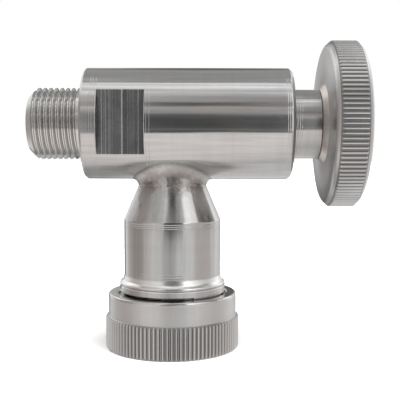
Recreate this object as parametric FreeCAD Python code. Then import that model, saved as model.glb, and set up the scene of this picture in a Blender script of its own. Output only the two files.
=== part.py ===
import FreeCAD, Part
import math
import os
from FreeCAD import Vector, Rotation, Placement

os.makedirs("parts", exist_ok=True)

# Level gauge valve, millimetres. +Z up, +X from the tank thread towards the
# handwheel. Origin: centre of the union nut's lower face, on the outlet axis.

# ---- driving dimensions -------------------------------------------------
BARREL_AXIS_Z = 52.85      # barrel axis above the nut's lower face
BARREL_R = 13.0
BARREL_X0 = -20.25         # shoulder of the tank thread
BARREL_X1 = 27.74          # face towards the handwheel
BARREL_CHAMFER_0 = 0.5
BARREL_CHAMFER_1 = 0.7
FLATS_AF = 21.7            # wrench flats for a 22 mm spanner
FLATS_ROUND = 0.2          # broken edge round each flat
FLATS_X0, FLATS_X1 = -16.45, -5.93

TANK_TIP_X = -33.26        # G 3/8 male thread, 19 threads per inch
TANK_PITCH = 1.337
TANK_CREST_R = 8.331
TANK_ROOT_R = 7.475
TANK_SHANK = 1.2           # plain shank beside the shoulder
TANK_START_X = -34.86      # where the thread groove starts, before the tip
TANK_TURN = 90.0           # and at which angle

PORT_R = 4.5               # inlet port through the tank thread
SEAT_X = -14.0             # seat lip
SEAT_LIP_R = 5.6
CHAMBER_X0, CHAMBER_X1 = -15.0, 6.0
CHAMBER_R = 8.5
CARTRIDGE_R = 9.42         # bore for the spindle bush and sleeve

NECK_BARREL_R = 8.05       # waist under the barrel
NECK_WAIST_Z = 38.3
NECK_CONE_Z = 30.55
NECK_R = 11.45
PASSAGE_R = 5.0
SOCKET_R = 8.2             # socket for the 16 mm gauge tube
SOCKET_Z0, SOCKET_Z1 = 8.9, 25.0
NECK_END_Z = 6.5
NECK_THREAD_TOP = 14.85    # below the narrow relief under the flare
NECK_FLARE_Z = 15.38       # lower edge of the flare above the thread
BEAD_R = 1.5               # weld fillet at the sides
BEAD_FRONT_R = 6.2         # and at front and back

NECK_PITCH = 1.5           # M25 x 1.5
NECK_CREST_R = 12.5
NECK_ROOT_R = 11.5
NUT_MINOR_R = 11.75
NUT_MAJOR_R = 12.75

NUT_H = 13.05
NUT_PLAIN_R = 15.15
NUT_KNURL_R = 15.8
NUT_KNURL_Z0, NUT_KNURL_Z1 = 0.5, 7.3
NUT_TEETH = 98
NUT_START_Z = 4.9          # start of the neck groove; the nut is half a pitch away
NUT_HOLE_R = 8.5

SPINDLE_PITCH = 2.0        # Tr 12 x 2
TRAVEL = 5.5               # rest is fully open
HUB_R = 8.04
HUB_X0, HUB_X1 = 18.2, 34.25

WHEEL_R = 19.4
WHEEL_X0, WHEEL_X1 = 35.55, 43.74
WHEEL_TEETH = 114
WHEEL_FACE_R = 17.9        # flat inner face, then a rounded edge
WHEEL_EDGE_R = 18.5        # and a bevel that the knurl's ribs run out on
WHEEL_BOSS_R = 9.3         # foot of the conical boss

ZB = BARREL_AXIS_Z
START_ANGLE = 7.0          # all thread starts, clear of the seams of the turned faces


# ---- helpers ------------------------------------------------------------
def profile_face(points, place):
    """Closed planar face from 2-D points (a, b) or (a, b, corner radius)."""
    n = len(points)
    ends = []
    for i, p in enumerate(points):
        a, b = p[0], p[1]
        if len(p) < 3 or p[2] <= 0:
            ends.append([(a, b), None, (a, b)])
            continue
        pa, pb = points[i - 1], points[(i + 1) % n]
        ux, uy = pa[0] - a, pa[1] - b
        vx, vy = pb[0] - a, pb[1] - b
        lu, lv = math.hypot(ux, uy), math.hypot(vx, vy)
        ux, uy, vx, vy = ux / lu, uy / lu, vx / lv, vy / lv
        half = math.acos(max(-1, min(1, ux * vx + uy * vy))) / 2
        cut = p[2] / math.tan(half)
        cut = min(cut, 0.49 * lu if len(pa) > 2 else 0.99 * lu, 0.49 * lv if len(pb) > 2 else 0.99 * lv)
        rad = cut * math.tan(half)
        t0 = (a + ux * cut, b + uy * cut)
        t1 = (a + vx * cut, b + vy * cut)
        bx, by = ux + vx, uy + vy
        lb = math.hypot(bx, by)
        dist = rad / math.sin(half)
        mid = (a + bx / lb * (dist - rad), b + by / lb * (dist - rad))
        ends.append([t0, mid, t1])
    edges = []
    for i in range(n):
        t0, mid, t1 = ends[i]
        if mid:
            edges.append(Part.Arc(place(*t0), place(*mid), place(*t1)).toShape())
        nxt = ends[(i + 1) % n][0]
        if math.hypot(nxt[0] - t1[0], nxt[1] - t1[1]) > 1e-7:
            edges.append(Part.LineSegment(place(*t1), place(*nxt)).toShape())
    return Part.Face(Part.Wire(edges))


def positive(shape):
    if shape.Volume < 0:
        shape.reverse()
    return shape


def turned_x(points):
    """Solid of revolution about the barrel axis from (x, radius) points."""
    face = profile_face(points, lambda x, r: Vector(x, 0, ZB + r))
    return positive(face.revolve(Vector(0, 0, ZB), Vector(1, 0, 0), 360))


def turned_z(points):
    """Solid of revolution about the outlet axis from (radius, z) points."""
    face = profile_face(points, lambda r, z: Vector(r, 0, z))
    return positive(face.revolve(Vector(0, 0, 0), Vector(0, 0, 1), 360))


def cyl_x(r, x0, x1):
    return Part.makeCylinder(r, x1 - x0, Vector(x0, 0, ZB), Vector(1, 0, 0))


def cyl_z(r, z0, z1, x=0, y=0):
    return Part.makeCylinder(r, z1 - z0, Vector(x, y, z0), Vector(0, 0, 1))


def helix_solid(pitch, turns, section, start, cone=0.0, angle=0.0):
    """Right-hand helical solid about +Z. section is (radius, axial) points."""
    r0 = section[0][0]
    if cone:
        helix = Part.makeHelix(pitch, pitch * turns, r0, cone)
    else:
        helix = Part.makeLongHelix(pitch, pitch * turns, r0, 0)
    pts = [Vector(r, 0, a) for r, a in section]
    pts.append(pts[0])
    solid = Part.Wire(helix.Edges).makePipeShell([Part.makePolygon(pts)], True, True)
    solid = positive(solid)
    solid.rotate(Vector(0, 0, 0), Vector(0, 0, 1), angle + START_ANGLE)
    solid.translate(Vector(0, 0, start))
    return solid


def to_barrel(shape):
    """Turns a shape made about +Z so that its axis is the barrel axis."""
    s = shape.copy()
    s.rotate(Vector(0, 0, 0), Vector(0, 1, 0), 90)
    s.translate(Vector(0, 0, ZB))
    return s


def vee(r_in, r_out, half_at, r_at, slope):
    """Groove section: half width half_at at radius r_at, opening outwards if slope > 0."""
    hi = half_at + (r_in - r_at) * slope
    ho = half_at + (r_out - r_at) * slope
    return [(r_in, -hi), (r_in, hi), (r_out, ho), (r_out, -ho)]


def star_prism_z(teeth, crest_r, root_r, z0, z1, land=0.26, root=0.22, turn=0.0):
    pts = []
    step = 2 * math.pi / teeth
    for i in range(teeth):
        c = i * step + turn
        for frac, r in ((-land / 2, crest_r), (land / 2, crest_r),
                        (0.5 - root / 2, root_r), (0.5 + root / 2, root_r)):
            t = c + frac * step
            pts.append(Vector(r * math.cos(t), r * math.sin(t), z0))
    pts.append(pts[0])
    return Part.Face(Part.makePolygon(pts)).extrude(Vector(0, 0, z1 - z0))


def ring_oval_x(x, r, axial, radial):
    """O-ring as seated: oval section at radius r."""
    pts = []
    n = 20
    for i in range(n):
        t = 2 * math.pi * i / n
        pts.append(Vector(x + axial * math.cos(t), 0, ZB + r + radial * math.sin(t)))
    curve = Part.BSplineCurve()
    curve.interpolate(pts, PeriodicFlag=True)
    face = Part.Face(Part.Wire(curve.toShape()))
    return positive(face.revolve(Vector(0, 0, ZB), Vector(1, 0, 0), 360))


def box_at(x0, x1, y0, y1, z0, z1):
    return Part.makeBox(x1 - x0, y1 - y0, z1 - z0, Vector(x0, y0, z0))


nodes = {}


def keep(name, shape):
    solids = shape.Solids
    assert solids, name + " has no solid"
    shape = solids[0] if len(solids) == 1 else Part.makeCompound(solids)
    nodes[name] = shape


# ---- barrel body with tank thread --------------------------------------
outer = turned_x([
    (BARREL_X0, 0), (BARREL_X0, BARREL_R - BARREL_CHAMFER_0),
    (BARREL_X0 + BARREL_CHAMFER_0, BARREL_R),
    (BARREL_X1 - BARREL_CHAMFER_1, BARREL_R, 0.5),
    (BARREL_X1, BARREL_R - BARREL_CHAMFER_1, 0.3),
    (BARREL_X1, 0)])
for side in (-1, 1):
    y0, y1 = sorted((side * FLATS_AF / 2, side * (BARREL_R + 2)))
    outer = outer.cut(box_at(FLATS_X0, FLATS_X1, y0, y1, ZB - BARREL_R, ZB + BARREL_R))
rims = []
for e in outer.Edges:
    mid = e.valueAt((e.FirstParameter + e.LastParameter) / 2)
    if abs(math.hypot(mid.y, mid.z - ZB) - BARREL_R) < 0.01 and FLATS_X0 - 0.01 < mid.x < FLATS_X1 + 0.01:
        ends = [v.Point for v in e.Vertexes]
        if all(FLATS_X0 - 0.01 < q.x < FLATS_X1 + 0.01 for q in ends):
            rims.append(e)
outer = outer.makeFillet(FLATS_ROUND, rims)

# thread blank in twelve sectors, so that each crest face spans 30 degrees
sectors = []
for i in range(12):
    s = Part.makeCylinder(TANK_CREST_R, BARREL_X0 + 2 - TANK_TIP_X, Vector(0, 0, TANK_TIP_X), Vector(0, 0, 1), 30)
    s.rotate(Vector(0, 0, 0), Vector(0, 0, 1), 30 * i)
    sectors.append(s)
blank = sectors[0].multiFuse(sectors[1:])
tip = turned_z([(6.5, TANK_TIP_X - 1), (12, TANK_TIP_X - 1), (12, TANK_TIP_X + 1.8), (TANK_CREST_R, TANK_TIP_X + 1.8),
                (6.5, TANK_TIP_X)])
blank = blank.cut(tip)
thread_end = BARREL_X0 - TANK_SHANK - 0.55
full_turns = (thread_end - TANK_START_X) / TANK_PITCH
cutter = vee(TANK_ROOT_R, TANK_CREST_R + 0.12, 0.557, TANK_CREST_R, 0.5206)
groove = helix_solid(TANK_PITCH, full_turns, cutter, TANK_START_X, angle=TANK_TURN)
runout = helix_solid(TANK_PITCH, 0.62, cutter, thread_end, cone=52.0, angle=TANK_TURN + 360 * (full_turns % 1))
blank = blank.cut(groove).cut(runout)
body = outer.fuse(to_barrel(blank))

# bores: port, seat lip, chamber, cartridge bore, ring-nut thread, outlet hole
body = body.cut(turned_x([
    (TANK_TIP_X - 1, 0), (TANK_TIP_X - 1, PORT_R + 1.6), (TANK_TIP_X + 0.6, PORT_R),
    (SEAT_X, PORT_R), (SEAT_X, SEAT_LIP_R), (CHAMBER_X0, SEAT_LIP_R + 0.4), (CHAMBER_X0, CHAMBER_R),
    (CHAMBER_X1, CHAMBER_R), (CHAMBER_X1, CARTRIDGE_R), (24.0, CARTRIDGE_R), (24.0, 9.5),
    (BARREL_X1 - 0.7, 9.5), (BARREL_X1 + 0.5, 10.7), (BARREL_X1 + 0.5, 0)]))
body = body.cut(to_barrel(helix_solid(1.0, 4.4, vee(9.46, 10.08, 0.31, 9.7, -0.577), 24.03)))
body = body.cut(to_barrel(turned_z([(9.3, 23.6), (10.15, 23.6), (10.15, 24.5), (9.3, 24.5)])))
body = body.cut(cyl_z(PASSAGE_R, ZB - BARREL_R - 2, ZB))
keep("valve_body", body)

# ---- outlet neck ----------------------------------------------------------
neck = turned_z([
    (10.6, NECK_END_Z), (11.35, NECK_END_Z), (NECK_CREST_R, NECK_END_Z + 1.0),
    (NECK_CREST_R, NECK_THREAD_TOP), (11.70, NECK_THREAD_TOP + 0.18), (11.70, NECK_THREAD_TOP + 0.28),
    (NECK_CREST_R, NECK_FLARE_Z), (12.42, NECK_FLARE_Z + 0.24), (11.75, NECK_FLARE_Z + 0.67, 0.9),
    (NECK_R - 0.05, NECK_FLARE_Z + 1.95), (NECK_R, NECK_CONE_Z - 0.25, 0.5),
    (NECK_BARREL_R, NECK_WAIST_Z), (NECK_BARREL_R, ZB), (PASSAGE_R, ZB),
    (PASSAGE_R, SOCKET_Z1 + 1.2), (8.6, SOCKET_Z1 + 1.2), (8.6, SOCKET_Z1), (SOCKET_R, SOCKET_Z1),
    (SOCKET_R, SOCKET_Z0)])
barrel_round = cyl_x(BARREL_R, BARREL_X0 + 2, BARREL_X1 - 2)
neck = neck.cut(barrel_round)
neck_cutter = vee(NECK_ROOT_R, NECK_CREST_R + 0.08, 0.36, 12.013, 0.577)
neck_turns = 5.3           # the groove ends at the back, then runs out below a plain ring
neck = neck.cut(helix_solid(NECK_PITCH, neck_turns, neck_cutter, NUT_START_Z))
neck = neck.cut(helix_solid(NECK_PITCH, 0.5, neck_cutter, NUT_START_Z + neck_turns * NECK_PITCH, cone=56.0,
                            angle=360 * (neck_turns % 1)))
keep("outlet_neck", neck)

# ---- fillet weld between neck and barrel ----------------------------------
# one quarter, its leg growing from the sides to the front, then mirrored
corner = box_at(0, 20, -20, 0, ZB - 30, ZB + 2)
both = cyl_x(BARREL_R, -2, 20).fuse(cyl_z(NECK_BARREL_R, ZB - 28, ZB - 2)).common(corner)
edge = None
for e in both.Edges:
    mid = e.valueAt((e.FirstParameter + e.LastParameter) / 2)
    if (abs(math.hypot(mid.x, mid.y) - NECK_BARREL_R) < 0.01 and abs(math.hypot(mid.y, mid.z - ZB) - BARREL_R) < 0.01
            and mid.z < ZB):
        edge = e
from_side = abs(edge.firstVertex(True).Point.x) > 4
radii = (BEAD_R, BEAD_FRONT_R) if from_side else (BEAD_FRONT_R, BEAD_R)
quarter = both.makeFillet(radii[0], radii[1], [edge])
quarter = quarter.cut(cyl_x(BARREL_R + 0.02, -4, 22)).cut(cyl_z(NECK_BARREL_R + 0.02, ZB - 30, ZB))
half = quarter.fuse(quarter.mirror(Vector(0, 0, 0), Vector(1, 0, 0)))
bead = half.fuse(half.mirror(Vector(0, 0, 0), Vector(0, 1, 0)))
keep("neck_weld_bead", bead)

# ---- tube cushion in the neck ----------------------------------------------
keep("tube_cushion", turned_z([(5.3, SOCKET_Z1 + 0.02), (8.55, SOCKET_Z1 + 0.02), (8.55, SOCKET_Z1 + 1.16),
                               (5.3, SOCKET_Z1 + 1.16)]))

# ---- union nut, washer and tube seal -----------------------------------------
nut = turned_z([
    (NUT_HOLE_R + 0.4, 0), (15.2, 0, 0.2), (NUT_KNURL_R, NUT_KNURL_Z0), (NUT_KNURL_R, NUT_KNURL_Z1),
    (NUT_PLAIN_R, NUT_KNURL_Z1 + 0.45), (NUT_PLAIN_R, NUT_H, 0.5), (13.1, NUT_H, 0.1), (12.85, NUT_H - 0.25, 0.1),
    (12.85, 12.0), (NUT_MINOR_R, 11.0), (NUT_MINOR_R, 5.3), (12.85, 4.7), (12.85, 3.5), (12.0, 2.0),
    (NUT_HOLE_R, 2.0), (NUT_HOLE_R, 0.4)])
nut = nut.common(star_prism_z(NUT_TEETH, NUT_KNURL_R + 0.02, NUT_KNURL_R - 0.45, -0.5, NUT_H + 0.5))
nut_groove = vee(NUT_MINOR_R - 0.08, NUT_MAJOR_R, 0.505, 12.013, -0.577)
# the neck's thread grooves start at NUT_START_Z, so its teeth are half a pitch away
nut = nut.cut(helix_solid(NECK_PITCH, 6.0, nut_groove, NUT_START_Z - NECK_PITCH / 2))
keep("union_nut", nut)

keep("pressure_washer", turned_z([(8.3, 2.06), (11.5, 2.06), (11.5, 3.2), (8.3, 3.2)]))
keep("tube_seal", turned_z([(8.05, 3.24), (11.3, 3.24, 0.4), (11.3, 6.3, 0.4), (10.25, 6.3), (8.25, 8.35), (8.05, 8.35)]))

# ---- spindle with hub -----------------------------------------------------
spindle = turned_x([
    (-3.45, 0), (-3.45, 2.7), (-3.1, 3.0), (-2.4, 3.0), (-2.4, 2.4), (-1.2, 2.4), (-1.2, 3.0), (0.8, 3.0),
    (0.8, 4.4), (1.3, 4.9), (4.85, 4.9), (4.85, 4.3), (5.95, 4.3), (5.95, 4.8), (6.4, 4.8), (7.3, 5.97),
    (16.6, 5.97), (17.4, 4.8), (HUB_X0, 4.8), (HUB_X0, 7.4), (HUB_X0 + 0.6, HUB_R), (19.0, HUB_R),
    (19.0, 6.75), (22.5, 6.75), (22.5, HUB_R), (HUB_X1 - 0.1, HUB_R), (HUB_X1, HUB_R - 0.1),
    (HUB_X1, 4.0), (39.7, 4.0), (40.0, 3.7), (40.0, 2.05), (30.0, 2.05), (28.8, 0)])
THREAD_PHASE = 0.4
male_groove = vee(4.88, 6.3, 0.60, 5.5, 0.268)
spindle = spindle.cut(to_barrel(helix_solid(SPINDLE_PITCH, 6.35, male_groove, 4.0 + THREAD_PHASE + SPINDLE_PITCH / 2)))
spindle = spindle.cut(box_at(HUB_X1 - 0.0, 39.5, -1.0, 1.0, ZB + 2.9, ZB + 5))
keep("spindle", spindle)

bush = turned_x([
    (CHAMBER_X1 + 0.02, 5.5), (CHAMBER_X1 + 0.02, 9.4), (8.0, 9.4), (8.0, 8.15), (10.4, 8.15), (10.4, 9.4),
    (12.5, 9.4), (12.5, 5.5), (12.1, 5.1), (CHAMBER_X1 + 0.42, 5.1)])
female_groove = vee(4.7, 6.12, 0.51, 5.5, -0.268)
bush = bush.cut(to_barrel(helix_solid(SPINDLE_PITCH, 5.0, female_groove, 4.0 + THREAD_PHASE)))
keep("spindle_bush", bush)
keep("bush_o_ring", ring_oval_x(9.2, 8.785, 0.85, 0.605))

keep("guide_sleeve", turned_x([
    (12.52, HUB_R + 0.35), (12.52, 9.4), (24.15, 9.4), (24.15, 8.9), (22.7, 8.9), (22.7, HUB_R + 0.05),
    (12.82, HUB_R + 0.05)]))
keep("wiper_ring", turned_x([(22.75, 8.10), (22.75, 8.85), (24.1, 8.85), (24.1, 8.45), (23.6, 8.08), (23.2, 8.08)]))

ring_nut = turned_x([
    (24.2, 8.35), (24.2, 9.3), (24.75, 9.93), (27.0, 9.93), (27.3, 9.63), (27.3, 8.55), (27.1, 8.35)])
ring_nut = ring_nut.cut(to_barrel(helix_solid(1.0, 5.2, vee(9.38, 10.03, 0.28, 9.7, 0.577), 23.53)))
ring_nut = ring_nut.cut(box_at(26.2, 28, -12, 12, ZB - 0.9, ZB + 0.9))
keep("ring_nut", ring_nut)

keep("spindle_o_ring", ring_oval_x(19.95, 7.41, 0.85, 0.645))
keep("spindle_backup_ring", turned_x([(20.95, 6.80), (20.95, 8.07), (22.35, 8.07), (22.35, 6.80)]))

# open external ring that stops the spindle in the open position
stop = turned_x([(4.92, 4.34), (4.92, 7.3), (5.90, 7.3), (5.90, 4.34)])
stop = stop.cut(box_at(4, 7, -2.4, 2.4, ZB - 9, ZB))
keep("spindle_stop_ring", stop)

# ---- plug with its seal ---------------------------------------------------
keep("plug", turned_x([
    (-7.5, 6.65), (-7.5, 7.0), (0.1, 7.0), (0.5, 6.6), (0.5, 3.3), (0.3, 3.1), (-1.25, 3.1), (-1.25, 3.55),
    (-2.35, 3.55), (-2.35, 3.1), (-3.5, 3.1), (-3.5, 1.55), (-6.5, 1.55), (-6.5, 6.65)]))
keep("plug_seal", turned_x([(-8.48, 1.6), (-8.48, 6.3), (-8.18, 6.6), (-6.52, 6.6), (-6.52, 1.6)]))
keep("plug_washer", turned_x([(-9.0, 1.6), (-9.0, 3.6), (-8.5, 3.6), (-8.5, 1.6)]))
screw = turned_x([(-10.6, 0), (-10.6, 2.1), (-10.1, 2.6), (-9.02, 2.6), (-9.02, 1.5), (-4.2, 1.5), (-3.8, 1.1), (-3.8, 0)])
screw = screw.cut(box_at(-11, -9.9, -3, 3, ZB - 0.4, ZB + 0.4))
keep("plug_screw", screw)
clip = turned_x([(-2.28, 2.48), (-2.28, 3.5), (-1.32, 3.5), (-1.32, 2.48)])
clip = clip.cut(box_at(-3, 0, -0.8, 0.8, ZB, ZB + 5))
keep("plug_retaining_ring", clip)

# ---- handwheel with key, washer and screw -----------------------------------
wheel = turned_x([
    (HUB_X1 + 0.02, 4.03), (HUB_X1 + 0.02, HUB_R - 0.12), (HUB_X1 + 0.16, HUB_R + 0.04), (WHEEL_X0, WHEEL_BOSS_R, 0.12),
    (WHEEL_X0, WHEEL_FACE_R, 0.9), (WHEEL_X0 + 0.40, WHEEL_EDGE_R, 0.4), (WHEEL_X0 + 1.40, WHEEL_R, 0.3),
    (42.32, WHEEL_R), (42.46, 19.08, 0.15), (43.20, 18.55, 0.8), (WHEEL_X1, 17.35, 0.3), (WHEEL_X1, 15.6, 0.3),
    (42.1, 14.2, 0.6), (41.2, 7.4, 0.6), (41.2, 6.0), (40.2, 6.0), (40.2, 4.03)])
star = star_prism_z(WHEEL_TEETH, WHEEL_R + 0.02, WHEEL_R - 0.40, 34.0, 45.0)
wheel = wheel.common(to_barrel(star))
wheel = wheel.cut(box_at(35.0, 41.0, -1.02, 1.02, ZB + 3.0, ZB + 4.95))
keep("handwheel", wheel)
keep("drive_key", box_at(35.5, 39.4, -0.98, 0.98, ZB + 2.95, ZB + 4.88))
keep("wheel_washer", turned_x([(40.22, 2.2), (40.22, 5.6), (40.98, 5.6), (40.98, 2.2)]))
wscrew = turned_x([
    (31.0, 0), (31.0, 1.6), (31.4, 2.0), (41.0, 2.0), (41.0, 3.8), (41.5, 3.78, 0.2), (43.0, 2.4, 1.2), (43.2, 0)])
hexa = [Vector(41.8, 1.25 / math.cos(math.pi / 6) * math.cos(math.radians(60 * i)),
               ZB + 1.25 / math.cos(math.pi / 6) * math.sin(math.radians(60 * i))) for i in range(6)]
hexa.append(hexa[0])
wscrew = wscrew.cut(Part.Face(Part.makePolygon(hexa)).extrude(Vector(3, 0, 0)))
keep("wheel_screw", wscrew)

# ---- write ----------------------------------------------------------------------
total = Part.makeCompound(list(nodes.values())).BoundBox
for name, shape in nodes.items():
    bad = "" if shape.isValid() else "  NOT VALID"
    print("%-22s %9.2f mm3  %d solid(s)%s" % (name, shape.Volume, len(shape.Solids), bad))
    shape.exportStep("parts/%s.step" % name)
print("box x %.2f %.2f  y %.2f %.2f  z %.2f %.2f" % (
    total.XMin, total.XMax, total.YMin, total.YMax, total.ZMin, total.ZMax))
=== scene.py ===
import math

import bpy
from mathutils import Matrix, Vector


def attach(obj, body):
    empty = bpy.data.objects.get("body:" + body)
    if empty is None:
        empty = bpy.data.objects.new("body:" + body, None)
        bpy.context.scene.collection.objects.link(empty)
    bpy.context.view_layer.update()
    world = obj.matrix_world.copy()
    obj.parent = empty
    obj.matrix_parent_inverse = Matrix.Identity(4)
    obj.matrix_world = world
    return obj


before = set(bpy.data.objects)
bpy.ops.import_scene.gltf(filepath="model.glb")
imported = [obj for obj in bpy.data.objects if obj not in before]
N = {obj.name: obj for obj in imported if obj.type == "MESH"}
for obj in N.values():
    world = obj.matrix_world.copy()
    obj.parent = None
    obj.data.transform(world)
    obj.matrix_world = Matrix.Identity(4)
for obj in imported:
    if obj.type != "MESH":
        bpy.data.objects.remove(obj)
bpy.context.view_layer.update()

MM = 0.001
ZB = 52.85 * MM            # barrel axis above the nut's lower face


# ---- camera: stands 175 mm in front, close to the barrel's height ------------
def make_camera():
    data = bpy.data.cameras.new("camera")
    data.lens = 66.48
    data.sensor_width = 36.0
    data.clip_start, data.clip_end = 0.01, 20.0
    cam = bpy.data.objects.new("camera", data)
    bpy.context.scene.collection.objects.link(cam)
    yaw, pitch, roll = -0.004, 0.0644, -0.0029
    ex = Vector((math.cos(yaw), -math.sin(yaw), 0))
    ey = Vector((math.sin(yaw), math.cos(yaw), 0))
    up0 = Vector((0, 0, 1))
    forward = math.cos(pitch) * ey - math.sin(pitch) * up0
    lift = math.sin(pitch) * ey + math.cos(pitch) * up0
    right = math.cos(roll) * ex - math.sin(roll) * lift
    up = math.sin(roll) * ex + math.cos(roll) * lift
    m = Matrix.Identity(4)
    for i in range(3):
        m[i][0], m[i][1], m[i][2] = right[i], up[i], -forward[i]
    m[0][3], m[1][3], m[2][3] = 0.007253, -0.175425, 0.046151
    cam.matrix_world = m
    bpy.context.scene.camera = cam


make_camera()
bpy.context.scene.view_settings.view_transform = "Standard"
bpy.context.scene.view_settings.look = "None"


# ---- node helpers -----------------------------------------------------------
class Tree:
    """Short names for building a node tree."""

    def __init__(self, tree):
        self.t = tree
        self.t.nodes.clear()

    def node(self, kind, **props):
        n = self.t.nodes.new(kind)
        for k, v in props.items():
            setattr(n, k, v)
        return n

    def put(self, socket, value):
        if isinstance(value, bpy.types.NodeSocket):
            self.t.links.new(value, socket)
        elif value is not None:
            socket.default_value = value

    def math(self, op, a, b=None, c=None, clamp=False):
        n = self.node("ShaderNodeMath", operation=op, use_clamp=clamp)
        self.put(n.inputs[0], a)
        self.put(n.inputs[1], b)
        self.put(n.inputs[2], c)
        return n.outputs[0]

    def ramp(self, value, lo, hi, to_lo=0.0, to_hi=1.0, kind="LINEAR"):
        n = self.node("ShaderNodeMapRange", interpolation_type=kind)
        n.clamp = True
        self.put(n.inputs["Value"], value)
        n.inputs["From Min"].default_value = lo
        n.inputs["From Max"].default_value = hi
        n.inputs["To Min"].default_value = to_lo
        n.inputs["To Max"].default_value = to_hi
        return n.outputs["Result"]

    def mix(self, factor, a, b, kind="MIX"):
        n = self.node("ShaderNodeMix", data_type="RGBA", blend_type=kind)
        n.clamp_factor = True
        self.put(n.inputs[0], factor)
        self.put(n.inputs[6], a)
        self.put(n.inputs[7], b)
        return n.outputs[2]

    def noise(self, vector, scale, detail=2.0, rough=0.5, dims="3D", w=None, distortion=0.0):
        n = self.node("ShaderNodeTexNoise", noise_dimensions=dims)
        if dims != "1D":
            self.put(n.inputs["Vector"], vector)
        if w is not None:
            self.put(n.inputs["W"], w)
        n.inputs["Scale"].default_value = scale
        n.inputs["Detail"].default_value = detail
        n.inputs["Roughness"].default_value = rough
        n.inputs["Distortion"].default_value = distortion
        return n.outputs["Fac"]

    def stops(self, value, stops, kind="LINEAR"):
        n = self.node("ShaderNodeValToRGB")
        n.color_ramp.interpolation = kind
        els = n.color_ramp.elements
        while len(els) < len(stops):
            els.new(0.5)
        for e, (p, c) in zip(els, stops):
            e.position = p
            e.color = (c[0], c[1], c[2], 1.0)
        self.put(n.inputs["Fac"], value)
        return n.outputs["Color"]


# ---- surroundings: pale floor and backdrop, soft light ------------------------
WARM = (1.0, 0.93, 0.90)
PLAIN = (1.0, 1.0, 0.995)


def ring_stops(values):
    """Azimuth in degrees, brightness and warmth, as stops of a colour ramp."""
    out = []
    for az, v, warm in values:
        c = [v * (PLAIN[i] * (1 - warm) + WARM[i] * warm) for i in range(3)]
        out.append(((az + 180.0) / 360.0, c))
    return out


# brightness round the horizon at a few heights; azimuth 0 is in front of the part
RING_FLOOR = [(-180, .86, 0), (-176, .80, 0), (-170, .36, 0), (-158, .40, 0), (-130, .84, .3), (-60, .92, .6), (-20, 1.06, .7),
              (11, 1.10, .6), (21, .68, .4), (60, .70, .4), (120, .84, .2), (180, .86, 0)]
RING_LOW = [(-180, .28, 0), (-174, .06, 0), (-163, .05, 0), (-152, .30, 0), (-142, .94, 0), (-113, .56, .9), (-98, .46, 1.4), (-80, .47, 1.4),
            (-60, .72, .8), (-42, .88, .4), (-26, .80, .2), (-12, .62, 0), (-3, .53, 0), (4, .62, 0), (18, .82, 0),
            (46, .90, 0), (64, .71, .8), (98, .68, .8), (112, .82, .2), (132, 1.0, 0), (150, .75, 0), (180, .30, 0)]
RING_HIGH = [(-180, .12, 0), (-176, .16, 0), (-172, .60, 0), (-163, .60, 0), (-153, 1.1, 0), (-140, .9, 0), (-122, .78, .2), (-104, .44, 1.6),
             (-88, .42, 1.4), (-62, .60, .6), (-36, .80, .2), (-18, .66, 0), (-8, .42, .3), (7, .42, .3), (13, .95, 0),
             (20, 1.25, 0), (34, 1.1, 0), (60, .78, 0), (76, .62, 0), (96, .58, 0), (118, .85, 0), (134, 1.3, 0), (152, .9, 0), (170, .5, 0),
             (176, .16, 0), (180, .12, 0)]
RING_UP = [(-180, .15, 0), (-168, .34, 0), (-157, .90, 0), (-147, 1.3, 0), (-122, 1.55, 0), (-106, .80, .6), (-96, .44, 1.2), (-80, .45, .9), (-56, .60, .2),
           (-28, .80, .1), (-20, .98, 0), (-11, .56, 0), (-2, .42, .2), (6, .40, .4), (20, .50, .1), (31, .76, 0),
           (40, 1.62, 0), (51, 1.55, 0), (62, 1.25, 0), (77, .95, 0), (89, .58, 0), (100, .62, 0), (114, 1.5, 0), (134, 1.7, 0), (150, 1.5, 0), (162, .5, 0),
           (180, .15, 0)]
RING_TOP = (.45, .45, .445)


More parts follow.
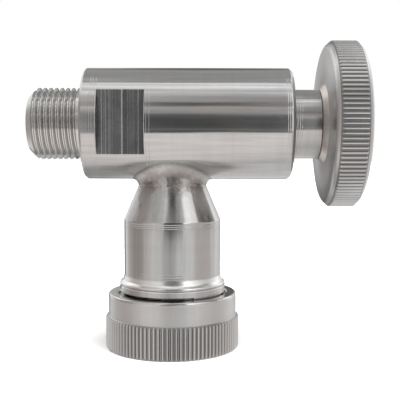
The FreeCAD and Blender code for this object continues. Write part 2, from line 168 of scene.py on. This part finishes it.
def make_world():
    world = bpy.data.worlds.new("studio")
    bpy.context.scene.world = world
    world.use_nodes = True
    t = Tree(world.node_tree)
    co = t.node("ShaderNodeTexCoord")
    sep = t.node("ShaderNodeSeparateXYZ")
    t.put(sep.inputs[0], co.outputs["Generated"])
    x, y, z = sep.outputs
    elev = t.math("MULTIPLY", t.math("ARCSINE", z), 180 / math.pi)
    az = t.math("ARCTAN2", x, t.math("MULTIPLY", y, -1.0))
    turn = t.math("ADD", t.math("DIVIDE", az, 2 * math.pi), 0.5)
    floor = t.stops(turn, ring_stops(RING_FLOOR), "EASE")
    low = t.stops(turn, ring_stops(RING_LOW), "EASE")
    high = t.stops(turn, ring_stops(RING_HIGH), "EASE")
    upper = t.stops(turn, ring_stops(RING_UP), "EASE")
    col = t.mix(t.ramp(elev, -26, -14, kind="SMOOTHSTEP"), floor, low)
    col = t.mix(t.ramp(elev, -3, 3, kind="SMOOTHSTEP"), col, high)
    col = t.mix(t.ramp(elev, 18, 30, kind="SMOOTHSTEP"), col, upper)
    # fine steps in height, as the turned barrel shows them
    steps = t.stops(t.math("DIVIDE", elev, 90.0), [(0, (.85,) * 3), (.20, (.85,) * 3), (.235, (.94, .885, .865)), (.285, (1.06, .99, .955)),
                    (.335, (1.30,) * 3), (.36, (.90,) * 3), (.42, (.82,) * 3), (.47, (.95,) * 3), (.60, (1.06,) * 3),
                    (.645, (1.35,) * 3), (.69, (1.55,) * 3), (.74, (1.9,) * 3)], "EASE")
    # only in front
    front = t.ramp(t.math("ABSOLUTE", az), 1.2, .55, kind="SMOOTHSTEP")
    col = t.mix(t.math("MULTIPLY", front, t.ramp(elev, 16, 20)), col, t.mix(1.0, col, steps, "MULTIPLY"))
    col = t.mix(t.ramp(elev, 66, 80, kind="SMOOTHSTEP"), col, (*RING_TOP, 1))
    behind = t.ramp(t.math("ABSOLUTE", az), 2.0, 2.6, kind="SMOOTHSTEP")
    col = t.mix(t.math("MULTIPLY", behind, t.ramp(elev, 33, 40, kind="SMOOTHSTEP")), col, (*RING_TOP, 1))
    bg = t.node("ShaderNodeBackground")
    t.put(bg.inputs["Color"], col)
    bg.inputs["Strength"].default_value = 1.0
    out = t.node("ShaderNodeOutputWorld")
    t.put(out.inputs["Surface"], bg.outputs[0])


make_world()


def mesh_object(name, verts, faces):
    me = bpy.data.meshes.new(name)
    me.from_pydata(verts, [], faces)
    me.update()
    ob = bpy.data.objects.new(name, me)
    bpy.context.scene.collection.objects.link(ob)
    return ob


def emitter(name, colour, strength):
    m = bpy.data.materials.new(name)
    m.use_nodes = True
    t = Tree(m.node_tree)
    e = t.node("ShaderNodeEmission")
    e.inputs["Color"].default_value = (*colour, 1)
    e.inputs["Strength"].default_value = strength
    o = t.node("ShaderNodeOutputMaterial")
    t.put(o.inputs["Surface"], e.outputs[0])
    return m


def panel(name, corners, colour, strength, shadow=False):
    """A flat studio panel, seen only in the reflections."""
    ob = mesh_object(name, corners, [tuple(range(len(corners)))])
    ob.data.materials.append(emitter(name, colour, strength))
    ob.visible_camera = False
    ob.visible_diffuse = False
    ob.visible_shadow = shadow
    ob.visible_transmission = False
    return ob


# dark card in front, which gives the turned faces their dark band; its upper edge fades
Y_CARD = -.106
X0_CARD, X1_CARD = -.0318, .0510


def graded(name, axis, stops):
    """Emission that changes along one object axis; stops are (metres, brightness)."""
    m = bpy.data.materials.new(name)
    m.use_nodes = True
    t = Tree(m.node_tree)
    co = t.node("ShaderNodeTexCoord")
    sep = t.node("ShaderNodeSeparateXYZ")
    t.put(sep.inputs[0], co.outputs["Object"])
    lo, hi = stops[0][0], stops[-1][0]
    v = t.ramp(sep.outputs["XYZ".index(axis)], lo, hi)
    col = t.stops(v, [((a - lo) / (hi - lo), (b * .99, b, b * 1.01)) for a, b in stops])
    e = t.node("ShaderNodeEmission")
    t.put(e.inputs["Color"], col)
    o = t.node("ShaderNodeOutputMaterial")
    t.put(o.inputs["Surface"], e.outputs[0])
    return m


card = panel("card", [(X0_CARD, Y_CARD, .0157), (X1_CARD, Y_CARD, .0157), (X1_CARD, Y_CARD, .0905), (X0_CARD, Y_CARD, .0905)],
             (1.0, 1.0, 1.0), 1.0)
card.data.materials.clear()
card.data.materials.append(graded("card", "Z", [(.0157, .36), (.021, .22), (.029, .17), (.0345, .085), (.052, .068), (.072, .078),
                                                (.0785, .11), (.0835, .22), (.087, .34), (.0905, .42)]))
panel("card_tip", [(-.032, Y_CARD + .0006, .0235), (.0300, Y_CARD + .0006, .0235), (.0270, Y_CARD + .0006, .0195),
                   (-.004, Y_CARD + .0006, .0148), (-.029, Y_CARD + .0006, .0195)],
      (1.0, 1.0, 1.0), .02)
# small dark card above it, for the line up the front of the cone
card_top = panel("card_top", [(-.024, Y_CARD, .1190), (.028, Y_CARD, .1190), (.028, Y_CARD, .142), (-.024, Y_CARD, .142)],
                 (1.0, .98, .97), .12)
card_top.data.materials.clear()
card_top.data.materials.append(graded("card_top", "X", [(-.024, .44), (-.015, .34), (-.009, .03), (.005, .005), (.015, .02), (.021, .18), (.028, .36)]))
# pale card to the right, for the knurled wheel
panel("card_pale", [(.0575, Y_CARD + .001, .024), (.092, Y_CARD + .001, .024), (.092, Y_CARD + .001, .100), (.0575, Y_CARD + .001, .100)],
      (1.0, 1.0, 1.0), 1.70)
# long soft strip overhead
strip = panel("strip", [(-.7, -.250, ZB + .6), (.7, -.250, ZB + .6), (.7, -.012, ZB + .6), (-.7, -.012, ZB + .6)],
              (1.0, 1.0, .99), 1.15)
strip.data.materials.clear()
strip.data.materials.append(graded("strip", "Y", [(-.250, .70), (-.205, .86), (-.150, 1.04), (-.110, 1.70), (-.098, 1.04),
                                                  (-.073, .84), (-.061, 1.62), (-.042, 1.14), (-.012, .96)]))


def make_floor():
    n, size = 24, 3.4
    verts, faces = [], []
    for j in range(n + 1):
        for i in range(n + 1):
            verts.append(((i / n - .5) * 2 * size, (j / n - .5) * 2 * size, 0.0))
    for j in range(n):
        for i in range(n):
            a = j * (n + 1) + i
            faces.append((a, a + 1, a + n + 2, a + n + 1))
    ob = mesh_object("floor", verts, faces)
    m = bpy.data.materials.new("pale_floor")
    m.use_nodes = True
    t = Tree(m.node_tree)
    co = t.node("ShaderNodeTexCoord")
    grain = t.noise(co.outputs["Object"], 900, 3)
    b = t.node("ShaderNodeBsdfPrincipled")
    t.put(b.inputs["Base Color"], t.mix(t.ramp(grain, .3, .7), (.86, .86, .86, 1), (.90, .90, .90, 1)))
    b.inputs["Roughness"].default_value = 0.9
    b.inputs["Specular IOR Level"].default_value = 0.1
    o = t.node("ShaderNodeOutputMaterial")
    t.put(o.inputs["Surface"], b.outputs[0])
    ob.data.materials.append(m)
    ob.visible_glossy = False
    # the valve stands on its nut, so the floor goes down with the nut's washer when the nut is unscrewed
    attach(ob, "tube_clamp")

    # backdrop all round, seen by the camera only
    rings, around = 24, 48
    verts, faces = [], []
    for j in range(rings + 1):
        a = -math.pi / 2 + math.pi * j / rings
        for i in range(around):
            b = 2 * math.pi * i / around
            verts.append((5 * math.cos(a) * math.cos(b), 5 * math.cos(a) * math.sin(b), 5 * math.sin(a)))
    for j in range(rings):
        for i in range(around):
            k = (i + 1) % around
            faces.append((j * around + i, j * around + k, (j + 1) * around + k, (j + 1) * around + i))
    back = mesh_object("backdrop", verts, faces)
    back.data.materials.append(emitter("backdrop", (1, 1, 1), 1.0))
    back.visible_glossy = back.visible_diffuse = back.visible_shadow = back.visible_transmission = False


make_floor()


def soft_light(name, where, towards, power):
    """Lights the floor and the soft parts; the steel gets its light from the panels."""
    d = bpy.data.lights.new(name, "SUN")
    d.angle = math.radians(70)
    d.energy = power
    ob = bpy.data.objects.new(name, d)
    ob.location = where
    ob.rotation_mode = "QUATERNION"
    ob.rotation_quaternion = (Vector(towards) - Vector(where)).to_track_quat("-Z", "Y")
    ob.visible_glossy = False
    bpy.context.scene.collection.objects.link(ob)


soft_light("light_top", (.3, -.5, 1.2), (0, 0, 0), 4.4)


# ---- materials --------------------------------------------------------------
def steel(name, axis, colour=(.58, .577, .572), rough=.20, aniso=.85, rings=.10, ring_scale=5000.0, bump=.02,
          smudge=.06, tint=(.53, .475, .445), tint_amount=.30, streak=.10, wobble=.05, crest=None, flats=False,
          heat=None, lines_at=None, dull=None, painted_groove_shade=.6,
          cuts=None, hub_dull=None, burnt=False, painted_boss_sheen_and_shade=None, smooth_below=None, painted_highlight_at=None,
          painted_gap_shade_at=None):
    """Turned stainless steel: fine rings round the axis, streaks along it, slow smudges, a little warm tint.

    crest is (radius at the groove floors, radius at the crests) of a knurl, whose floors get painted shade.
    cuts are fine turned lines: (place along the axis, half width, depth).
    hub_dull is (inner radius, outer radius, more roughness) on a turned face.
    painted_highlight_at is (from, to, amount) along Z where the colour is painted lighter, a painted highlight.
    painted_gap_shade_at is (from, to, amount) along Z where the thread ends, painted dark as the shade in the gap
    between the neck and the nut.
    smooth_below leaves the drawn-out pattern off where x is less, on the tank thread, and paints that thread's colour
    lighter as a painted highlight.
    """
    m = bpy.data.materials.new(name)
    m.use_nodes = True
    t = Tree(m.node_tree)
    co = t.node("ShaderNodeTexCoord")
    obj = co.outputs["Object"]
    sep = t.node("ShaderNodeSeparateXYZ")
    t.put(sep.inputs[0], obj)
    x, y, z = sep.outputs
    along = {"X": x, "Z": z}.get(axis)
    slow = t.noise(obj, 60, 3, .55)
    # coordinates squeezed along the axis, so that the pattern is drawn out along it
    squeeze = t.node("ShaderNodeMapping")
    squeeze.inputs["Scale"].default_value = {"X": (.05, 1, 1), "Z": (1, 1, .05)}.get(axis, (1, 1, 1))
    t.put(squeeze.inputs["Vector"], obj)
    drawn = t.noise(squeeze.outputs[0], 1100, 3, .6)
    drawn_wide = t.noise(squeeze.outputs[0], 330, 2, .5)
    if along is not None:
        fine = t.noise(None, ring_scale, 2, .6, dims="1D", w=along)
        broad = t.noise(None, ring_scale / 9, 2, .5, dims="1D", w=along)
        lines = t.math("ADD", t.math("MULTIPLY", fine, .6), t.math("MULTIPLY", broad, .4))
    else:
        lines = t.noise(obj, 900, 3, .6)
    base = t.mix(t.math("MULTIPLY", t.ramp(slow, .42, .72), tint_amount), (*colour, 1), (*tint, 1))
    ring_gain = t.ramp(lines, .32, .68)
    if lines_at is not None:
        lo, hi, gain = lines_at
        zone = t.math("MULTIPLY", t.ramp(along, lo - .0003, lo + .0002), t.ramp(along, hi + .0003, hi - .0002))
        ring_gain = t.math("MULTIPLY", ring_gain, t.math("ADD", 1.0, t.math("MULTIPLY", zone, gain)))
    base = t.mix(t.math("MULTIPLY", ring_gain, rings, clamp=True), base, tuple(c * .55 for c in colour) + (1,))
    if smooth_below is not None:
        # painted highlight: the tank thread's colour is made lighter
        thread = t.ramp(x, smooth_below, smooth_below - .0001)
        base = t.mix(t.math("MULTIPLY", thread, .22), base, (.80, .79, .775, 1))
    draw = streak if smooth_below is None else t.ramp(x, smooth_below - .0001, smooth_below, 0.0, streak)
    base = t.mix(t.math("MULTIPLY", t.ramp(drawn, .35, .68), draw), base, tuple(c * .50 for c in colour) + (1,))
    if crest is not None:
        lo, hi = crest
        if axis == "X":
            dz = t.math("SUBTRACT", z, ZB)
            rad = t.math("SQRT", t.math("ADD", t.math("MULTIPLY", y, y), t.math("MULTIPLY", dz, dz)))
        else:
            rad = t.math("SQRT", t.math("ADD", t.math("MULTIPLY", x, x), t.math("MULTIPLY", y, y)))
        # painted shade: the knurl's groove floors are darkened in colour, where light is blocked
        near = t.ramp(rad, lo - .00010, lo - .00005)
        deep = t.math("MULTIPLY", near, t.ramp(rad, hi - .00003, lo + .00002))
        base = t.mix(t.math("MULTIPLY", deep, painted_groove_shade), base, tuple(c * .22 for c in colour) + (1,))
    if burnt:
        # brown where the weld runs out on the barrel and on the neck
        dz = t.math("SUBTRACT", z, ZB)
        off_barrel = t.math("SUBTRACT", t.math("SQRT", t.math("ADD", t.math("MULTIPLY", y, y), t.math("MULTIPLY", dz, dz))), 13.0 * MM)
        off_neck = t.math("SUBTRACT", t.math("SQRT", t.math("ADD", t.math("MULTIPLY", x, x), t.math("MULTIPLY", y, y))), 8.05 * MM)
        rim = t.math("MAXIMUM", t.ramp(off_barrel, .22 * MM, .04 * MM), t.ramp(off_neck, .6 * MM, .1 * MM))
        patchy = t.ramp(t.noise(obj, 420, 4, .65), .36, .56, .25, 1.0)
        base = t.mix(t.math("MULTIPLY", t.math("MULTIPLY", rim, patchy), .55), base, (.16, .115, .095, 1))
    if heat is not None:
        lo, hi, amount = heat
        lo_heat = lo
        spots = t.noise(obj, 260, 4, .65)
        hot = t.math("MULTIPLY", t.ramp(z, lo, hi), t.ramp(spots, .38, .62))
        base = t.mix(t.math("MULTIPLY", hot, amount), base, (.20, .155, .13, 1))
    r = t.math("ADD", rough - smudge / 2, t.math("MULTIPLY", t.ramp(slow, .3, .7), smudge))
    if heat is not None:
        r = t.math("ADD", r, t.math("MULTIPLY", t.ramp(z, lo, hi), .16))
    r = t.math("ADD", r, t.math("MULTIPLY", t.math("SUBTRACT", lines, .5), rough * .35))
    if dull is not None:
        lo, hi, more = dull
        zone = t.math("MULTIPLY", t.ramp(z, lo - .0004, lo), t.ramp(z, hi + .0006, hi))
        r = t.math("ADD", r, t.math("MULTIPLY", zone, more))
    if flats:
        # wrench flats: milled, with marks across the barrel
        side = t.math("ABSOLUTE", t.math("SUBTRACT", t.math("ABSOLUTE", y), 10.85 * MM))
        on = t.math("MULTIPLY", t.ramp(side, .00004, .00003), t.math("MULTIPLY", t.ramp(x, -.01647, -.01643), t.ramp(x, -.00590, -.00594)))
        marks = t.noise(None, 2600, 3, .7, dims="1D", w=x)
        zone = t.noise(None, 420, 2, .5, dims="1D", w=x)
        mark_lit = t.math("MULTIPLY", t.ramp(marks, .58, .74), .55)
        for at, width, gain in ((-.01535, .00007, .55), (-.01075, .00006, .75), (-.01365, .00010, .25)):
            d = t.math("ABSOLUTE", t.math("SUBTRACT", x, at))
            mark_lit = t.math("MAXIMUM", mark_lit, t.math("MULTIPLY", t.ramp(d, width * 1.6, width * .6), gain))
        blot = t.noise(obj, 420, 4, .65)
        milled = t.mix(t.ramp(zone, .35, .65), (.29, .29, .29, 1), (.42, .42, .425, 1))
        milled = t.mix(t.math("MULTIPLY", t.ramp(blot, .40, .62), .5), milled, (.20, .20, .205, 1))
        milled = t.mix(mark_lit, milled, (1.0, 1.0, 1.0, 1))
        base = t.mix(on, base, milled)
        r = t.math("ADD", t.math("MULTIPLY", r, t.math("SUBTRACT", 1.0, on)), t.math("MULTIPLY", on, t.math("ADD", .24, t.math("MULTIPLY", mark_lit, .30))))
    # painted highlight: the colour is made lighter in this band of the neck's flare
    if painted_highlight_at is not None:
        lo, hi, amount = painted_highlight_at
        zone = t.math("MULTIPLY", t.ramp(z, lo - .0002, lo), t.ramp(z, hi + .0004, hi))
        base = t.mix(t.math("MULTIPLY", zone, amount), base, (.97, .965, .96, 1))
    # painted shade: the colour is darkened in this band, for the gap between the neck and the nut
    if painted_gap_shade_at is not None:
        lo, hi, amount = painted_gap_shade_at
        zone = t.math("MULTIPLY", t.ramp(z, lo - .0001, lo), t.ramp(z, hi + .0002, hi))
        base = t.mix(t.math("MULTIPLY", zone, amount), base, (.10, .095, .09, 1))
    if painted_boss_sheen_and_shade is not None:
        # the wheel's conical boss: painted warmer and lighter, a painted highlight and warm reflection, and smoother,
        # with painted shade in the corner at the hub
        corner, end = painted_boss_sheen_and_shade
        on_boss = t.ramp(x, end + .00006, end - .00004)
        base = t.mix(t.math("MULTIPLY", on_boss, .9), base, t.mix(t.ramp(t.noise(obj, 300, 3, .6), .35, .65), (.93, .91, .885, 1), (.82, .72, .67, 1)))
        base = t.mix(t.math("MULTIPLY", t.ramp(x, corner, corner - .00012), .88), base, (.10, .08, .07, 1))
        r = t.math("ADD", t.math("MULTIPLY", r, t.math("SUBTRACT", 1.0, on_boss)), t.math("MULTIPLY", on_boss, .42))
    b = t.node("ShaderNodeBsdfPrincipled")
    b.inputs["Metallic"].default_value = 1.0
    b.inputs["Anisotropic"].default_value = aniso
    b.inputs["Anisotropic Rotation"].default_value = 0.25
    t.put(b.inputs["Base Color"], base)
    t.put(b.inputs["Roughness"], r)
    if axis in ("X", "Z"):
        tan = t.node("ShaderNodeTangent", direction_type="RADIAL", axis=axis)
        t.put(b.inputs["Tangent"], tan.outputs[0])
    if hub_dull is not None:
        dz = t.math("SUBTRACT", z, ZB)
        away = t.math("SQRT", t.math("ADD", t.math("MULTIPLY", y, y), t.math("MULTIPLY", dz, dz)))
        lo, hi, more = hub_dull
        extra = t.ramp(away, lo, hi, more, 0.0)
        if painted_boss_sheen_and_shade is not None:
            extra = t.math("MULTIPLY", extra, t.math("SUBTRACT", 1.0, on_boss))
        t.put(b.inputs["Roughness"], t.math("ADD", r, extra))
    bp = t.node("ShaderNodeBump")
    bp.inputs["Strength"].default_value = bump
    bp.inputs["Distance"].default_value = 0.0001
    t.put(bp.inputs["Height"], lines)
    if cuts is not None:
        height = None
        for at, half, depth in cuts:
            d = t.math("ABSOLUTE", t.math("SUBTRACT", along, at))
            g = t.ramp(d, 0.0, half, -depth, 0.0)
            height = g if height is None else t.math("ADD", height, g)
        # the lines come and go round the part
        worn = t.ramp(t.noise(obj, 240, 2, .5), .35, .6, .25, 1.0)
        cut = t.node("ShaderNodeBump")
        cut.inputs["Strength"].default_value = 1.0
        cut.inputs["Distance"].default_value = 1.0
        t.put(cut.inputs["Height"], t.math("MULTIPLY", height, worn))
        t.put(cut.inputs["Normal"], bp.outputs[0])
        bp = cut
    wave = t.node("ShaderNodeBump")
    wave.inputs["Strength"].default_value = wobble
    if smooth_below is not None:
        t.put(wave.inputs["Strength"], t.ramp(x, smooth_below - .0001, smooth_below, 0.0, wobble))
    wave.inputs["Distance"].default_value = 0.0002
    t.put(wave.inputs["Height"], drawn_wide)
    t.put(wave.inputs["Normal"], bp.outputs[0])
    last = wave
    if heat is not None and axis == "Z":
        # uneven skin where the heat of the weld reached
        skin = t.node("ShaderNodeBump")
        t.put(skin.inputs["Strength"], t.ramp(z, lo_heat + .0004, lo_heat + .0018, 0.0, .6))
        skin.inputs["Distance"].default_value = 0.0004
        t.put(skin.inputs["Height"], t.noise(obj, 430, 2, .5))
        t.put(skin.inputs["Normal"], last.outputs[0])
        last = skin
    t.put(b.inputs["Normal"], last.outputs[0])
    o = t.node("ShaderNodeOutputMaterial")
    t.put(o.inputs["Surface"], b.outputs[0])
    return m


def coloured_metal(name, colour, dark, rough):
    m = bpy.data.materials.new(name)
    m.use_nodes = True
    t = Tree(m.node_tree)
    co = t.node("ShaderNodeTexCoord")
    obj = co.outputs["Object"]
    slow = t.noise(obj, 90, 4, .6)
    fine = t.noise(obj, 1500, 2, .6)
    b = t.node("ShaderNodeBsdfPrincipled")
    b.inputs["Metallic"].default_value = 1.0
    t.put(b.inputs["Base Color"], t.mix(t.ramp(slow, .4, .75), (*colour, 1), (*dark, 1)))
    t.put(b.inputs["Roughness"], t.ramp(fine, .3, .7, rough - .05, rough + .08))
    bp = t.node("ShaderNodeBump")
    bp.inputs["Strength"].default_value = .05
    bp.inputs["Distance"].default_value = .0001
    t.put(bp.inputs["Height"], fine)
    t.put(b.inputs["Normal"], bp.outputs[0])
    o = t.node("ShaderNodeOutputMaterial")
    t.put(o.inputs["Surface"], b.outputs[0])
    return m


def soft_stuff(name, colour, other, rough, sub=0.0):
    m = bpy.data.materials.new(name)
    m.use_nodes = True
    t = Tree(m.node_tree)
    co = t.node("ShaderNodeTexCoord")
    obj = co.outputs["Object"]
    slow = t.noise(obj, 140, 3, .6)
    fine = t.noise(obj, 2500, 3, .6)
    b = t.node("ShaderNodeBsdfPrincipled")
    t.put(b.inputs["Base Color"], t.mix(t.ramp(slow, .35, .7), (*colour, 1), (*other, 1)))
    t.put(b.inputs["Roughness"], t.ramp(fine, .3, .7, rough - .06, rough + .08))
    bp = t.node("ShaderNodeBump")
    bp.inputs["Strength"].default_value = .15
    bp.inputs["Distance"].default_value = .0001
    t.put(bp.inputs["Height"], fine)
    t.put(b.inputs["Normal"], bp.outputs[0])
    o = t.node("ShaderNodeOutputMaterial")
    t.put(o.inputs["Surface"], b.outputs[0])
    return m


def wear(node, material):
    ob = N[node]
    ob.data.materials.clear()
    ob.data.materials.append(material)


barrel_steel = steel("barrel_steel", "X", rough=.17, aniso=.9, rings=.14, streak=.22, wobble=.32, flats=True, smooth_below=-20.3 * MM,
                     cuts=[(x * MM, .10 * MM, .022 * MM) for x in (-17.95, -17.45, -16.75, -5.4, -4.7)]
                     + [(x * MM, .09 * MM, .02 * MM) for x in (26.0, 26.4, 26.75)])
hub_steel = steel("hub_steel", "X", colour=(.51, .507, .503), rough=.18, aniso=.9, rings=.22, streak=.08,
                  cuts=[(x * MM, .10 * MM, .025 * MM) for x in (28.7, 29.3, 29.8)])
neck_steel = steel("neck_steel", "Z", rough=.13, aniso=.6, rings=.12, streak=.20, wobble=.14, heat=(.0355, .0392, .85), dull=(.0150, .0174, .17), painted_highlight_at=(.0148, .0170, .75), painted_gap_shade_at=(.01255, .01322, .70),
                   lines_at=(.0284, .0302, 2.0),
                   cuts=[(z * MM, .12 * MM, .05 * MM) for z in (29.8, 29.35, 28.9)] + [(z * MM, .10 * MM, .015 * MM) for z in (18.4, 17.8, 17.2)])
bead_steel = steel("bead_steel", None, rough=.2, aniso=0.0, streak=.25, wobble=.16, tint_amount=.6, heat=(.030, .034, .35),
                   burnt=True)
nut_steel = steel("nut_steel", "Z", colour=(.64, .637, .63), rough=.40, aniso=.6, crest=(15.35 * MM, 15.80 * MM), painted_groove_shade=.5,
                  dull=(.01250, .0131, -.27))
wheel_steel = steel("wheel_steel", "X", colour=(.62, .617, .613), rough=.34, aniso=.5, crest=(19.0 * MM, 19.40 * MM), painted_groove_shade=.75, hub_dull=(.0110, .0160, .30),
                    painted_boss_sheen_and_shade=(34.47 * MM, 35.50 * MM))
inner_steel = steel("inner_steel", "X", rough=.35, aniso=.5)
spring = coloured_metal("spring_steel", (.42, .43, .45), (.30, .30, .31), .32)
brass = coloured_metal("brass", (.80, .60, .28), (.62, .44, .20), .28)
bronze = coloured_metal("bronze", (.66, .42, .24), (.50, .31, .18), .34)
ptfe = soft_stuff("ptfe", (.82, .82, .80), (.74, .74, .71), .38)
rubber = soft_stuff("rubber", (.018, .018, .019), (.032, .031, .030), .55)

for name in ("valve_body",):
    wear(name, barrel_steel)
wear("spindle", hub_steel)
wear("outlet_neck", neck_steel)
wear("neck_weld_bead", bead_steel)
wear("union_nut", nut_steel)
wear("handwheel", wheel_steel)
for name in ("ring_nut", "wheel_screw", "wheel_washer", "plug", "plug_screw", "plug_washer"):
    wear(name, inner_steel)
wear("pressure_washer", nut_steel)
for name in ("drive_key", "plug_retaining_ring", "spindle_stop_ring"):
    wear(name, spring)
wear("spindle_bush", brass)
wear("guide_sleeve", bronze)
for name in ("plug_seal", "spindle_backup_ring"):
    wear(name, ptfe)
for name in ("bush_o_ring", "spindle_o_ring", "wiper_ring", "tube_cushion", "tube_seal"):
    wear(name, rubber)
